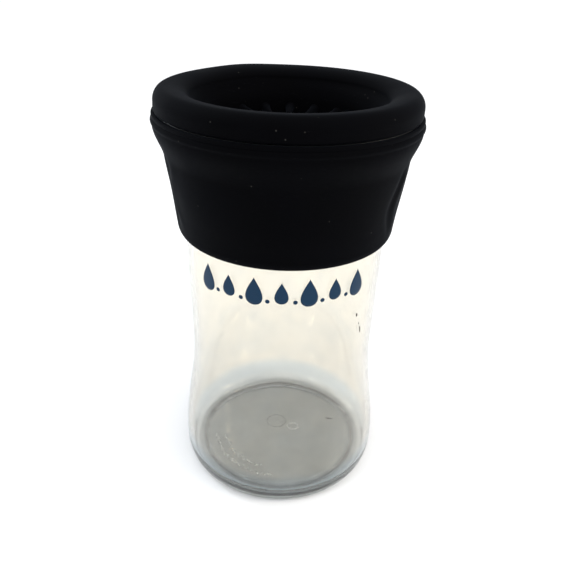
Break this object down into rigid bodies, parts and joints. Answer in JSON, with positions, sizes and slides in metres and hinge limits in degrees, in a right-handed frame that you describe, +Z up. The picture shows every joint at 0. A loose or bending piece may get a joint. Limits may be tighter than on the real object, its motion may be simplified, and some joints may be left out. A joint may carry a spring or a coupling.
{
  "type": "paw washer cup",
  "caption": "Clear waisted tumbler with a screw-on collar in a soft black grip sleeve and a lift-out silicone insert lined with inward bristles.",
  "frame": {"origin": "middle of the tumbler's foot, on the surface it stands on", "axes": "+Z up along the cup's axis, out of the mouth; -Y is the front"},
  "size_m": [0.089, 0.089, 0.15],
  "materials": {
    "clear_plastic": "clear moulded, lightly scuffed",
    "seal_silicone": "matte",
    "collar_plastic": "satin moulded",
    "grip_silicone": "soft-touch matte",
    "insert_silicone": "soft-touch matte"
  },
  "bodies": {
    "cup": {"tumbler": "clear_plastic"},
    "seal": {"sealing_gasket": "seal_silicone"},
    "collar": {"collar_ring": "collar_plastic", "grip_sleeve": "grip_silicone"},
    "insert": {"bristle_insert": "insert_silicone"}
  },
  "joints": [
    {"name": "collar_rise", "type": "slide", "parent": "cup", "child": "seal", "axis": [0, 0, 1], "range_m": [0, 0.0081]},
    {"name": "collar_twist", "type": "hinge", "parent": "seal", "child": "collar", "pos_m": [0, 0, 0.13], "axis": [0, 0, 1], "range_deg": [0, 720]},
    {"name": "insert_lift", "type": "slide", "parent": "collar", "child": "insert", "axis": [0, 0, 1], "range_m": [0, 0.048]}
  ],
  "couplings": [
    {"joint": "collar_rise", "follows": "collar_twist", "m_per_rad": 0.00063662}
  ]
}
